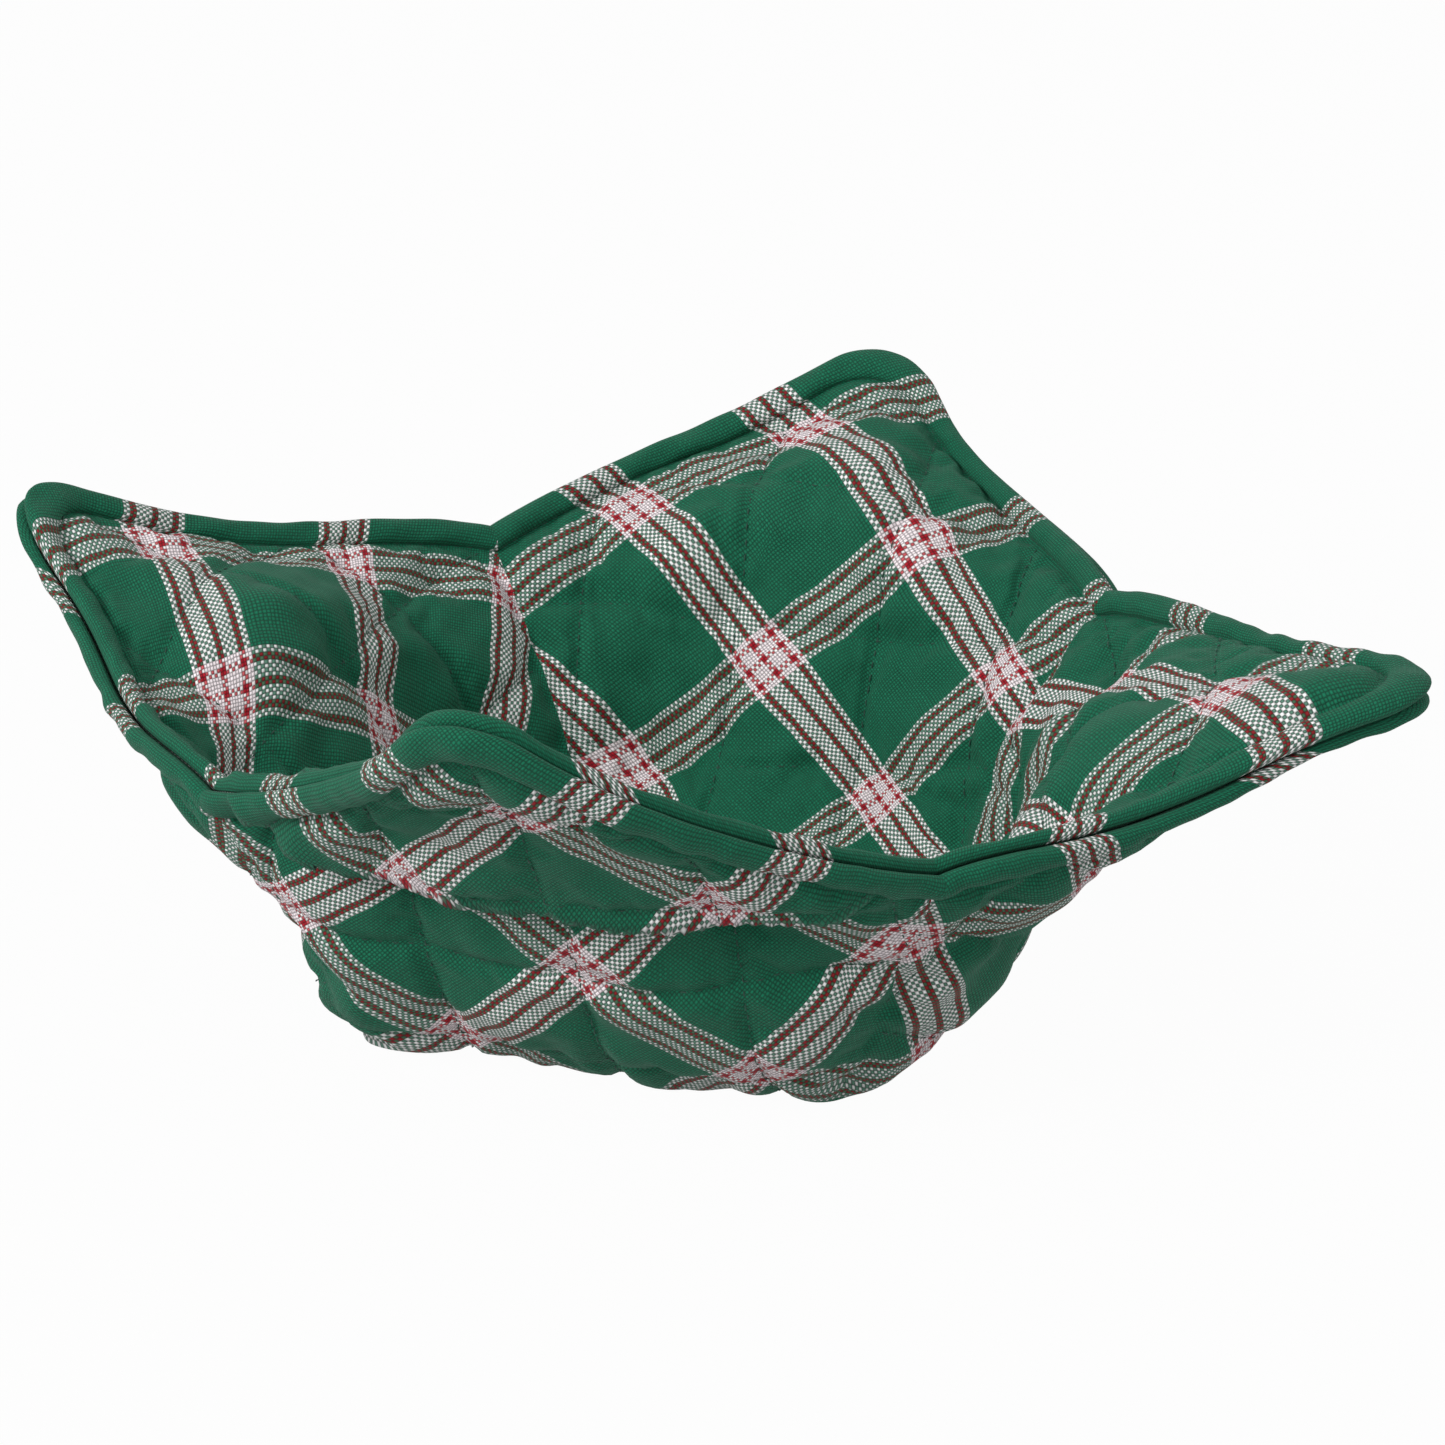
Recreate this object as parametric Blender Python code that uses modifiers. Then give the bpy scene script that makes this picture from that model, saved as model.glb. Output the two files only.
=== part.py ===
"""Quilted bowl cozy: two darted cotton panels sewn together round a turned rim.

Metres, +Z up. +X runs from the left flap to the right flap, +Y from the front flap to
the back flap, and the origin is under the middle of the bowl's box, on the table.
"""
import bpy
import bmesh
from math import atan2, cos, pi, radians, sin, sqrt
from mathutils import Matrix, Vector

# Cut of both panels, flat
SQUARE = 0.250
CORNER_RADIUS = 0.015
DART_DEPTH = 0.065
DART_HALF_WIDTH = 0.027
DART_TAPER = 0.025
QUILT_PITCH = 0.0296
QUILT_PHASE_X = 0.0148
QUILT_PHASE_Y = 0.0230

# Thickness of one quilted panel
LOFT = 0.0034
STITCHED = 0.0017
PUFF_FULLNESS = 0.5
SEAM_EDGE = 0.0010
SEAM_DITCH = 0.008
BORDER_WIDTH = 0.0065
BORDER_LOFT = 0.0027
BORDER_FULLNESS = 0.6
PANEL_GAP = 0.0003
FOOT_LOFT = 0.0029

# Standing shape: how each spoke of the cloth leaves the table
FLAP_BASE = 0.048
DART_BASE = 0.057
BASE_BEND = 0.028
LIP_BEND = 0.022
TIP_START = 0.35
DART_WALL = 0.034

# Corner flaps: azimuth, wall angle, wall run, lip angle and tip angle
LEFT_FLAP = (180.0, 62.0, 0.069, 8.0, 43.0)
BACK_FLAP = (90.0, 54.0, 0.078, 8.0, 38.0)
RIGHT_FLAP = (0.0, 65.0, 0.065, 18.0, -2.0)
FRONT_FLAP = (-90.0, 58.0, 0.087, 40.0, 75.0)

# Darts between the flaps: azimuth, wall angle and rim angle
LEFT_BACK_DART = (134.0, 65.0, 44.0)
BACK_RIGHT_DART = (47.0, 69.0, 47.0)
RIGHT_FRONT_DART = (-45.0, 62.0, 57.0)
FRONT_LEFT_DART = (-135.0, 51.0, 63.0)
LEFT_BACK_DART_SHIFT = 0.0035

# How far the cloth between a dart and a flap swells outwards and sags
SWELL = {
    ("left_back", "left"): (-0.005, 0.001),
    ("left_back", "back"): (0.001, 0.002),
    ("back_right", "back"): (0.0, 0.005),
    ("back_right", "right"): (-0.004, 0.002),
    ("right_front", "right"): (-0.003, 0.009),
    ("right_front", "front"): (-0.002, 0.0),
    ("front_left", "front"): (-0.007, 0.002),
    ("front_left", "left"): (-0.001, 0.007),
}
SWELL_START = 0.045

# Fineness of the model
RINGS = 17
HALF_SIDE_STEPS = 8
STEP_CROWDING = 1.25
PROFILE_STEPS = 160

HALF = SQUARE / 2
PANEL_GREEN = (0.015, 0.147, 0.063, 1.0)
LINING_GREEN = (0.017, 0.165, 0.072, 1.0)

SIDES = (
    ("left_back", LEFT_FLAP, LEFT_BACK_DART, BACK_FLAP, LEFT_BACK_DART_SHIFT),
    ("back_right", BACK_FLAP, BACK_RIGHT_DART, RIGHT_FLAP, 0.0),
    ("right_front", RIGHT_FLAP, RIGHT_FRONT_DART, FRONT_FLAP, 0.0),
    ("front_left", FRONT_FLAP, FRONT_LEFT_DART, LEFT_FLAP, 0.0),
)
FLAP_NAMES = {LEFT_FLAP: "left", BACK_FLAP: "back", RIGHT_FLAP: "right", FRONT_FLAP: "front"}


def smooth_step(x):
    x = min(max(x, 0.0), 1.0)
    return x * x * (3 - 2 * x)


def spoke_profile(angle_at, length):
    """Points (run, rise, angle) of a spoke of cloth, at equal steps along it."""
    step = length / PROFILE_STEPS
    profile = [(0.0, 0.0, 0.0)]
    for index in range(PROFILE_STEPS):
        angle = angle_at((index + 0.5) * step)
        run, rise, _ = profile[-1]
        profile.append((run + step * cos(angle), rise + step * sin(angle), angle_at((index + 1) * step)))
    return profile


def flap_profile(flap):
    _, wall_angle, wall_run, lip_angle, tip_angle = flap
    length = HALF * sqrt(2)
    lip_start = FLAP_BASE + wall_run
    tip_start = lip_start + (length - lip_start) * TIP_START

    def angle_at(along):
        angle = wall_angle * smooth_step((along - FLAP_BASE) / BASE_BEND + 0.5)
        angle += (lip_angle - wall_angle) * smooth_step((along - lip_start) / LIP_BEND + 0.5)
        angle += (tip_angle - lip_angle) * smooth_step((along - tip_start) / (length - tip_start))
        return radians(angle)

    return spoke_profile(angle_at, length)


def dart_profile(dart):
    _, wall_angle, rim_angle = dart
    lip_start = DART_BASE + DART_WALL

    def angle_at(along):
        angle = wall_angle * smooth_step((along - DART_BASE) / BASE_BEND + 0.5)
        angle += (rim_angle - wall_angle) * smooth_step((along - lip_start) / LIP_BEND + 0.5)
        return radians(angle)

    return spoke_profile(angle_at, HALF)


PROFILES = {}
for _, first_flap, side_dart, _, _ in SIDES:
    PROFILES[first_flap] = flap_profile(first_flap)
    PROFILES[side_dart] = dart_profile(side_dart)


def spoke_point(spoke, reach):
    """Point and outward tangent of a spoke where the ring of that reach crosses it."""
    place = min(reach / HALF, 1.0) * PROFILE_STEPS
    index = min(int(place), PROFILE_STEPS - 1)
    blend = place - index
    low, high = PROFILES[spoke][index], PROFILES[spoke][index + 1]
    run, rise, angle = (a + (b - a) * blend for a, b in zip(low, high))
    azimuth = radians(spoke[0])
    outward = Vector((cos(azimuth), sin(azimuth), 0))
    up = Vector((0, 0, 1))
    return outward * run + up * rise, outward * cos(angle) + up * sin(angle)


def dart_half_width(reach):
    return DART_HALF_WIDTH * max(1 - (HALF - reach) / DART_DEPTH, 0.0)


def dart_slant(reach):
    """Angle between the rings and the square of the dart's seam, from its point upwards."""
    above_point = reach - (HALF - DART_DEPTH)
    return atan2(DART_HALF_WIDTH, DART_DEPTH) * smooth_step(above_point / DART_TAPER)


def standing_point(side, turn, reach, share):
    """Place of the sewn cloth on a ring, from a side's dart (0) to its flap's middle (1)."""
    name, before, dart, after, _ = side
    flap = after if turn > 0 else before
    start, start_tangent = spoke_point(dart, reach)
    end, end_tangent = spoke_point(flap, reach)
    length = reach - dart_half_width(reach)
    slant = dart_slant(reach)

    def sideways(azimuth):
        return turn * Vector((sin(radians(azimuth)), -cos(radians(azimuth)), 0))

    leave = (sideways(dart[0]) * cos(slant) + start_tangent * sin(slant)) * length
    arrive = (sideways(flap[0]) + end_tangent) / sqrt(2) * length
    s, s2, s3 = share, share ** 2, share ** 3
    point = start * (2 * s3 - 3 * s2 + 1) + leave * (s3 - 2 * s2 + s)
    point += end * (3 * s2 - 2 * s3) + arrive * (s3 - s2)
    bow, sag = SWELL[(name, FLAP_NAMES[flap])]
    weight = (4 * s * (1 - s)) ** 2 * smooth_step((reach - SWELL_START) / (HALF - SWELL_START))
    middle = (spoke_point(dart, HALF)[0] + spoke_point(flap, HALF)[0]).to_2d().normalized()
    return point + weight * Vector((bow * middle.x, bow * middle.y, -sag))


def rounded_ring(reach, share):
    """Flat place on a ring's half side: distance out and distance along from the dart."""
    radius = CORNER_RADIUS * reach / HALF
    opening = dart_half_width(reach)
    straight = reach - radius - opening
    travel = share * (straight + radius * pi / 4)
    if travel <= straight:
        return reach, opening + travel
    angle = (travel - straight) / radius
    return reach - radius * (1 - cos(angle)), reach - radius + radius * sin(angle)


def panel_node(side_index, turn, reach, share):
    """Standing place and flat place of one vertex of the cloth."""
    side = SIDES[side_index]
    out, along = rounded_ring(reach, share)
    opening = dart_half_width(out)
    ring_share = (along - opening) / (out - opening)
    shift = side[4] * (1 - ring_share)
    quarter = Matrix.Rotation(-side_index * pi / 2, 2)
    flat = quarter @ Vector((turn * along + shift, out))
    return standing_point(side, turn, out, min(ring_share, 1.0)), flat


def panel_thickness(flat, reach, along_from_dart):
    """Thickness of a panel: puffed between stitch lines, thin at its seams, rolled at the rim."""
    edge = HALF - reach
    if edge < BORDER_WIDTH:
        roll = max(sin(pi * edge / BORDER_WIDTH), 0.0) ** BORDER_FULLNESS
        return SEAM_EDGE + (STITCHED - SEAM_EDGE) * edge / BORDER_WIDTH + (BORDER_LOFT - STITCHED) * roll
    across = (flat.x - flat.y) / sqrt(2) + QUILT_PHASE_X
    down = (flat.x + flat.y) / sqrt(2) + QUILT_PHASE_Y
    puff = abs(sin(pi * across / QUILT_PITCH) * sin(pi * down / QUILT_PITCH)) ** PUFF_FULLNESS
    puff *= smooth_step((edge - BORDER_WIDTH) / BORDER_WIDTH)
    if reach > HALF - DART_DEPTH:
        puff *= smooth_step(along_from_dart / SEAM_DITCH)
    return STITCHED + (LOFT - STITCHED) * puff


def ring_reaches():
    """Reach of each ring: even steps out to the border, then the border's own rings."""
    border_start = HALF - 2 * BORDER_WIDTH
    rings = [border_start * (index + 1) / RINGS for index in range(RINGS)]
    return rings + [HALF - BORDER_WIDTH, HALF - BORDER_WIDTH / 2, HALF]


def cloth_grid():
    """Vertices, panel thicknesses and triangles of the cloth between the two panels."""
    points = [Vector((0, 0, 0))]
    thick = [panel_thickness(Vector((0, 0)), 0.0, HALF)]
    around = 8 * HALF_SIDE_STEPS
    for reach in ring_reaches():
        for place in range(around):
            side_index, step = divmod(place, 2 * HALF_SIDE_STEPS)
            from_dart = step - HALF_SIDE_STEPS
            share = (abs(from_dart) / HALF_SIDE_STEPS) ** STEP_CROWDING
            turn = 1 if from_dart > 0 else -1
            point, flat = panel_node(side_index, turn, reach, share)
            points.append(point)
            along = share * (reach - dart_half_width(reach))
            thick.append(panel_thickness(flat, reach, along))
    triangles = [(0, 1 + (place + 1) % around, 1 + place) for place in range(around)]
    for ring in range(len(ring_reaches()) - 1):
        inner, outer = 1 + ring * around, 1 + (ring + 1) * around
        for place in range(around):
            after = (place + 1) % around
            a, b = inner + place, inner + after
            c, d = outer + after, outer + place
            if (place // HALF_SIDE_STEPS) % 2:
                triangles += [(a, b, c), (a, c, d)]
            else:
                triangles += [(a, b, d), (b, c, d)]
    return points, thick, triangles


def fabric_material(name, colour):
    material = bpy.data.materials.new(name)
    material.use_nodes = True
    shader = material.node_tree.nodes["Principled BSDF"]
    shader.inputs["Base Color"].default_value = colour
    shader.inputs["Roughness"].default_value = 0.9
    shader.inputs["Metallic"].default_value = 0.0
    material.diffuse_color = colour
    return material


def pressed_flat(points, thick):
    """The outer panel's thickness, where the table presses its lowest puffs flat."""
    return [min(value, FOOT_LOFT + point.z) for point, value in zip(points, thick)]


def quilted_panel(name, points, thick, triangles, towards_inside, material, collection):
    """One quilted panel: the shared cloth moved off by half the gap, then thickened."""
    mesh = bpy.data.meshes.new(name)
    shell = bmesh.new()
    vertices = [shell.verts.new(point) for point in points]
    for a, b, c in triangles:
        shell.faces.new((vertices[a], vertices[b], vertices[c]))
    bmesh.ops.recalc_face_normals(shell, faces=shell.faces)
    shell.normal_update()
    if (vertices[0].normal.z > 0) != towards_inside:
        bmesh.ops.reverse_faces(shell, faces=shell.faces)
        shell.normal_update()
    normals = [vertex.normal.copy() for vertex in vertices]
    for vertex, normal in zip(vertices, normals):
        vertex.co += normal * PANEL_GAP / 2
    shell.to_mesh(mesh)
    shell.free()
    mesh.materials.append(material)
    mesh.shade_smooth()

    panel = bpy.data.objects.new(name, mesh)
    collection.objects.link(panel)
    loft = panel.vertex_groups.new(name="loft")
    fullest = max(thick)
    for index, value in enumerate(thick):
        loft.add([index], value / fullest, "REPLACE")
    wall = panel.modifiers.new("quilted_wall", "SOLIDIFY")
    wall.thickness = fullest
    wall.offset = 1.0
    wall.vertex_group = loft.name
    return panel


def stand_on_table(panels):
    """Move the panels so that their box is centred on the origin and rests on Z = 0."""
    bpy.context.view_layer.update()
    depsgraph = bpy.context.evaluated_depsgraph_get()
    corners = []
    for panel in panels:
        evaluated = panel.evaluated_get(depsgraph)
        mesh = evaluated.to_mesh()
        corners += [vertex.co.copy() for vertex in mesh.vertices]
        evaluated.to_mesh_clear()
    low = Vector([min(corner[axis] for corner in corners) for axis in range(3)])
    high = Vector([max(corner[axis] for corner in corners) for axis in range(3)])
    for panel in panels:
        panel.location = (-(low.x + high.x) / 2, -(low.y + high.y) / 2, -low.z)


def main():
    for item in list(bpy.data.objects):
        bpy.data.objects.remove(item)
    collection = bpy.data.collections.new("bowl_cozy")
    bpy.context.scene.collection.children.link(collection)
    points, thick, triangles = cloth_grid()
    outer_cotton = fabric_material("outer_cotton", PANEL_GREEN)
    inner_cotton = fabric_material("inner_cotton", LINING_GREEN)
    pressed = pressed_flat(points, thick)
    outer = quilted_panel("outer_panel", points, pressed, triangles, False, outer_cotton, collection)
    inner = quilted_panel("inner_panel", points, thick, triangles, True, inner_cotton, collection)
    stand_on_table((outer, inner))


main()
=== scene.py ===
from math import atan2, cos, pi, radians, sin, sqrt

import bpy
import numpy as np
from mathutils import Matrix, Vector
from mathutils.bvhtree import BVHTree


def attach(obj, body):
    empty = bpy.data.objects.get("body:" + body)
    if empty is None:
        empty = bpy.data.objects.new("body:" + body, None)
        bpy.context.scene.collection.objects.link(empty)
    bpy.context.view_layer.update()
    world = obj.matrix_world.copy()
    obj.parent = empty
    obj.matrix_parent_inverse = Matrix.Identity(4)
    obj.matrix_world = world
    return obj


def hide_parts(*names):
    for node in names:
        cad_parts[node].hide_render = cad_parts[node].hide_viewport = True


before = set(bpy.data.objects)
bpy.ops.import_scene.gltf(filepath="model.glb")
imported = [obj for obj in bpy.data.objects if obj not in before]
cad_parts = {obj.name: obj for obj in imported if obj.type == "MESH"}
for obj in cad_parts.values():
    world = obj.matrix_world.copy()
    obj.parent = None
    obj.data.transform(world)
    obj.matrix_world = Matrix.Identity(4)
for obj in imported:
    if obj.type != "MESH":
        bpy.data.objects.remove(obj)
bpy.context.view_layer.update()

# Cut of both panels, flat, as in the CAD model
SQUARE = 0.250
HALF = SQUARE / 2
CORNER_RADIUS = 0.015
DART_DEPTH = 0.065
DART_HALF_WIDTH = 0.027
DART_TAPER = 0.025

# Standing shape, as in the CAD model
FLAP_BASE = 0.048
DART_BASE = 0.057
BASE_BEND = 0.028
LIP_BEND = 0.022
TIP_START = 0.35
DART_WALL = 0.034
PROFILE_STEPS = 160
SWELL_START = 0.045
MIDDLE_OF_CLOTH = np.array([0.00021, -0.00933, 0.00305])

# Corner flaps: azimuth, wall angle, wall run, lip angle and tip angle
FLAPS = {
    "left": (180.0, 62.0, 0.069, 8.0, 43.0),
    "back": (90.0, 54.0, 0.078, 8.0, 38.0),
    "right": (0.0, 65.0, 0.065, 18.0, -2.0),
    "front": (-90.0, 58.0, 0.087, 40.0, 75.0),
}

# Darts between the flaps: azimuth, wall angle, rim angle, and how far the plaid beside
# the seam lies to the side and how much more of it the seam takes up
DARTS = {
    "left_back": (134.0, 65.0, 44.0, 0.0052, 0.005),
    "back_right": (47.0, 69.0, 47.0, 0.0, 0.0),
    "right_front": (-45.0, 62.0, 57.0, 0.0, 0.0),
    "front_left": (-135.0, 51.0, 63.0, 0.0, 0.0),
}
TAKEN_UP_FADE = 0.35

# How far the cloth between a dart and a flap swells outwards and sags
SWELL = {
    ("left_back", "left"): (-0.005, 0.001),
    ("left_back", "back"): (0.001, 0.002),
    ("back_right", "back"): (0.0, 0.005),
    ("back_right", "right"): (-0.004, 0.002),
    ("right_front", "right"): (-0.003, 0.009),
    ("right_front", "front"): (-0.002, 0.0),
    ("front_left", "front"): (-0.007, 0.002),
    ("front_left", "left"): (-0.001, 0.007),
}
SIDES = (
    ("left_back", "left", "back"),
    ("back_right", "back", "right"),
    ("right_front", "right", "front"),
    ("front_left", "front", "left"),
)

# Places where the soft cloth hangs off that plain form: middle, how far round it, and the way
NUDGES = (
    ((-0.134, -0.009, 0.081), 0.020, (-0.0036, -0.0010, 0.0034)),
    ((-0.129, -0.022, 0.077), 0.014, (0.0020, 0.0, -0.0028)),
    ((-0.118, -0.036, 0.067), 0.022, (0.0030, 0.0, 0.0016)),
    ((-0.119, 0.010, 0.074), 0.018, (-0.0010, 0.0, 0.0010)),
    ((-0.104, 0.026, 0.066), 0.028, (0.0, 0.0, -0.0010)),
    ((-0.003, 0.124, 0.076), 0.022, (-0.0004, 0.0, 0.0034)),
    ((0.013, 0.124, 0.077), 0.014, (0.0002, 0.0, -0.0026)),
    ((0.022, 0.112, 0.072), 0.018, (-0.0024, 0.0, -0.0012)),
    ((-0.032, 0.106, 0.068), 0.034, (-0.0026, -0.0010, 0.0022)),
    ((0.134, -0.009, 0.077), 0.024, (0.0030, 0.0008, 0.0004)),
    ((0.116, -0.029, 0.068), 0.024, (0.0, 0.0004, 0.0022)),
    ((0.108, 0.026, 0.070), 0.024, (0.0, 0.0, -0.0014)),
    ((0.090, -0.044, 0.060), 0.020, (-0.0004, 0.0004, 0.0006)),
    ((0.072, -0.036, 0.030), 0.020, (0.0052, 0.0012, -0.0006)),
    ((-0.078, -0.062, 0.050), 0.022, (-0.0020, -0.0008, 0.0)),
    ((-0.056, -0.067, 0.025), 0.018, (0.0016, 0.0004, 0.0)),
    ((-0.049, -0.057, 0.008), 0.013, (-0.0078, -0.0026, -0.0036)),
    ((-0.014, -0.064, 0.004), 0.024, (0.0, 0.0022, 0.0006)),
    ((0.026, -0.056, 0.004), 0.018, (0.0, 0.0016, 0.0)),
    ((-0.034, 0.042, 0.015), 0.024, (0.0036, 0.0012, 0.0)),
    ((0.021, 0.044, 0.014), 0.022, (0.0, 0.0022, 0.0020)),
    ((-0.017, -0.119, 0.092), 0.016, (-0.0010, 0.0, -0.0020)),
)

# The front flap bellies over the wall below it in a fold: its distance from the flap's tip
# at the angle where it is nearest, and how it widens away from there. The outer panel turns
# sharply there, and the inner one behind it eases over a ramp
FOLD_ACROSS = 0.0685
FOLD_NEAREST = radians(50.0)
FOLD_WIDENING = 0.030
FOLD_OUT, FOLD_OUT_FADE = 0.0052, 0.014
FOLD_IN, FOLD_IN_FADE = 0.0054, 0.018
FOLD_DRAWN, FOLD_DRAWN_WIDTH = 0.0036, 0.030
FOLD_LAP, FOLD_LAP_FADE = 0.0030, 0.007
FOLD_SHARP = 0.0013
FOLD_RAMP = 0.022
FOLD_START_FADE = radians(24.0)
FOLD_END, FOLD_END_FADE = radians(96.0), radians(12.0)
FOLD_OFF_RIM, FOLD_OFF_DART = 0.008, 0.010

# Slow waves of the whole wall, which fade out at its sewn edges, and the finer wrinkles of
# each face cloth
WAVE_HEIGHT, WAVE_LENGTHS = 0.0009, (0.035, 0.080)
WAVE_OFF_RIM, WAVE_OFF_DART, WAVE_OFF_BASE = 0.012, 0.014, 0.020
WAVE_COUNT = 14
WAVE_SEED = 5
WRINKLE_HEIGHT, WRINKLE_LENGTHS = 0.00030, (0.008, 0.024)
WRINKLE_SEED = {"outer": 40, "inner": 20}

# Quilting and loft of each panel
QUILT_PITCH = 0.0296
QUILT_LINES = 9
LOFT = {"outer": 0.0036, "inner": 0.0034}
STITCHED = {"outer": 0.0017, "inner": 0.0018}
PUFF_FULLNESS = 0.4
SEAM_DITCH = 0.008
PINNED, PINNED_FADE = 0.0004, 0.0022
DART_PINNED, DART_PINNED_FADE = 0.0005, 0.0030
RIM_PINNED = 0.0012
GROOVE = 0.0009
GROOVE_BANK = 0.003
PANEL_GAP = 0.0003

# The border, and the section of its roll: an oval from the topstitch groove to the seam
BORDER_WIDTH = 0.0053
ROLL_BACK, ROLL_LONG = 0.0026, 0.0028
ROLL_RISE, ROLL_HIGH = 0.0016, 0.0018
ROLL_START, ROLL_END = radians(196.0), radians(-64.0)
ROLL_PUCKER, ROLL_PUCKER_LENGTHS = 0.06, (0.006, 0.014)

# Which way each panel's face looks: out of the bowl or into it
INWARDS = {"outer": -1, "inner": 1}

# The grid of the face cloth: cells from the middle to the topstitch and round the roll, and
# how many of them one cell of the simulated cloth and of the hidden back spans
INNER_CELLS = 112
BORDER_CELLS = 16
CELLS = INNER_CELLS + BORDER_CELLS
SIM_STRIDE = 2
BACK_STRIDE = 2

# Step inwards from each ring that shows which way the cloth runs out there
OUTWARD_STEP = 0.002

# Weave: the plaid's repeats, the yarns in each, and where the plaid lies on each panel, with
# a place of it that is plain green
WARP_REPEAT, WARP_YARNS = 0.03864, 67
WEFT_REPEAT, WEFT_YARNS = 0.04167, 62
WARP_PHASE = 0.72
WEFT_PHASE = {"outer": 0.50, "inner": 0.37}
QUILT_PHASE = {"outer": (-0.0012, 0.0230), "inner": (0.0148, 0.0230)}
PLAIN_PLACE = ((WARP_PHASE + 0.5) * WARP_REPEAT, 0.93 * WEFT_REPEAT)

GREEN = (0.005, 0.138, 0.071, 1.0)
RED = (0.52, 0.010, 0.026, 1.0)
WHITE = (0.90, 0.91, 0.90, 1.0)
PINK_CAST = (1.0, 0.86, 0.91, 1.0)
THREAD_GREEN = (0.004, 0.040, 0.024, 1.0)


def smooth_step(x):
    x = np.clip(x, 0.0, 1.0)
    return x * x * (3 - 2 * x)


def spoke_profile(angle_at, length):
    """Run, rise and angle of a spoke of cloth, at equal steps along it."""
    step = length / PROFILE_STEPS
    slope = angle_at((np.arange(PROFILE_STEPS) + 0.5) * step)
    run = np.concatenate([[0.0], np.cumsum(step * np.cos(slope))])
    rise = np.concatenate([[0.0], np.cumsum(step * np.sin(slope))])
    return run, rise, angle_at(np.arange(PROFILE_STEPS + 1) * step)


def flap_profile(flap):
    _, wall_angle, wall_run, lip_angle, tip_angle = flap
    length = HALF * sqrt(2)
    lip_start = FLAP_BASE + wall_run
    tip_start = lip_start + (length - lip_start) * TIP_START

    def angle_at(along):
        angle = wall_angle * smooth_step((along - FLAP_BASE) / BASE_BEND + 0.5)
        angle += (lip_angle - wall_angle) * smooth_step((along - lip_start) / LIP_BEND + 0.5)
        angle += (tip_angle - lip_angle) * smooth_step((along - tip_start) / (length - tip_start))
        return np.radians(angle)

    return spoke_profile(angle_at, length)


def dart_profile(dart):
    wall_angle, rim_angle = dart[1:3]
    lip_start = DART_BASE + DART_WALL

    def angle_at(along):
        angle = wall_angle * smooth_step((along - DART_BASE) / BASE_BEND + 0.5)
        angle += (rim_angle - wall_angle) * smooth_step((along - lip_start) / LIP_BEND + 0.5)
        return np.radians(angle)

    return spoke_profile(angle_at, HALF)


PROFILES = {name: flap_profile(flap) for name, flap in FLAPS.items()}
PROFILES.update({name: dart_profile(dart) for name, dart in DARTS.items()})
AZIMUTHS = {name: radians(spoke[0]) for name, spoke in {**FLAPS, **DARTS}.items()}
UP = np.array([0.0, 0.0, 1.0])


def spoke_points(name, reach):
    """Points and outward tangents of a spoke where rings of those reaches cross it."""
    place = np.clip(reach / HALF, 0.0, 1.0) * PROFILE_STEPS
    run, rise, slope = (np.interp(place, np.arange(PROFILE_STEPS + 1), value)[..., None]
                        for value in PROFILES[name])
    outward = np.array([cos(AZIMUTHS[name]), sin(AZIMUTHS[name]), 0.0])
    return outward * run + UP * rise, outward * np.cos(slope) + UP * np.sin(slope)


def dart_half_width(reach):
    return DART_HALF_WIDTH * np.maximum(1 - (HALF - reach) / DART_DEPTH, 0.0)


def dart_slant(reach):
    """Angle between the rings and the square of the dart's seam, from its point upwards."""
    above_point = reach - (HALF - DART_DEPTH)
    return atan2(DART_HALF_WIDTH, DART_DEPTH) * smooth_step(above_point / DART_TAPER)


def standing_points(side, turn, reach, share):
    """Places of the sewn cloth on rings, from a side's dart (0) to its flap's middle (1)."""
    dart, before, after = SIDES[side]
    flap = after if turn > 0 else before
    start, start_tangent = spoke_points(dart, reach)
    end, end_tangent = spoke_points(flap, reach)
    length = (reach - dart_half_width(reach))[..., None]
    slant = dart_slant(reach)[..., None]

    def sideways(name):
        return turn * np.array([sin(AZIMUTHS[name]), -cos(AZIMUTHS[name]), 0.0])

    leave = (sideways(dart) * np.cos(slant) + start_tangent * np.sin(slant)) * length
    arrive = (sideways(flap) + end_tangent) / sqrt(2) * length
    s = share[..., None]
    point = start * (2 * s**3 - 3 * s**2 + 1) + leave * (s**3 - 2 * s**2 + s)
    point = point + end * (3 * s**2 - 2 * s**3) + arrive * (s**3 - s**2)
    bow, sag = SWELL[(dart, flap)]
    rise = smooth_step((reach - SWELL_START) / (HALF - SWELL_START))[..., None]
    rim = np.array([HALF])
    middle = (spoke_points(dart, rim)[0] + spoke_points(flap, rim)[0])[0]
    middle /= np.hypot(middle[0], middle[1])
    return point + (4 * s * (1 - s)) ** 2 * rise * np.array([bow * middle[0], bow * middle[1], -sag])


def rounded_ring(reach, share):
    """Flat places on rings' half sides: distance out and distance along from the dart."""
    radius = CORNER_RADIUS * reach / HALF
    opening = dart_half_width(reach)
    straight = reach - radius - opening
    travel = share * (straight + radius * pi / 4)
    angle = np.maximum(travel - straight, 0.0) / np.maximum(radius, 1e-9)
    out = reach - radius * (1 - np.cos(angle))
    along = np.where(travel <= straight, opening + travel, reach - radius + radius * np.sin(angle))
    return out, along


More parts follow.
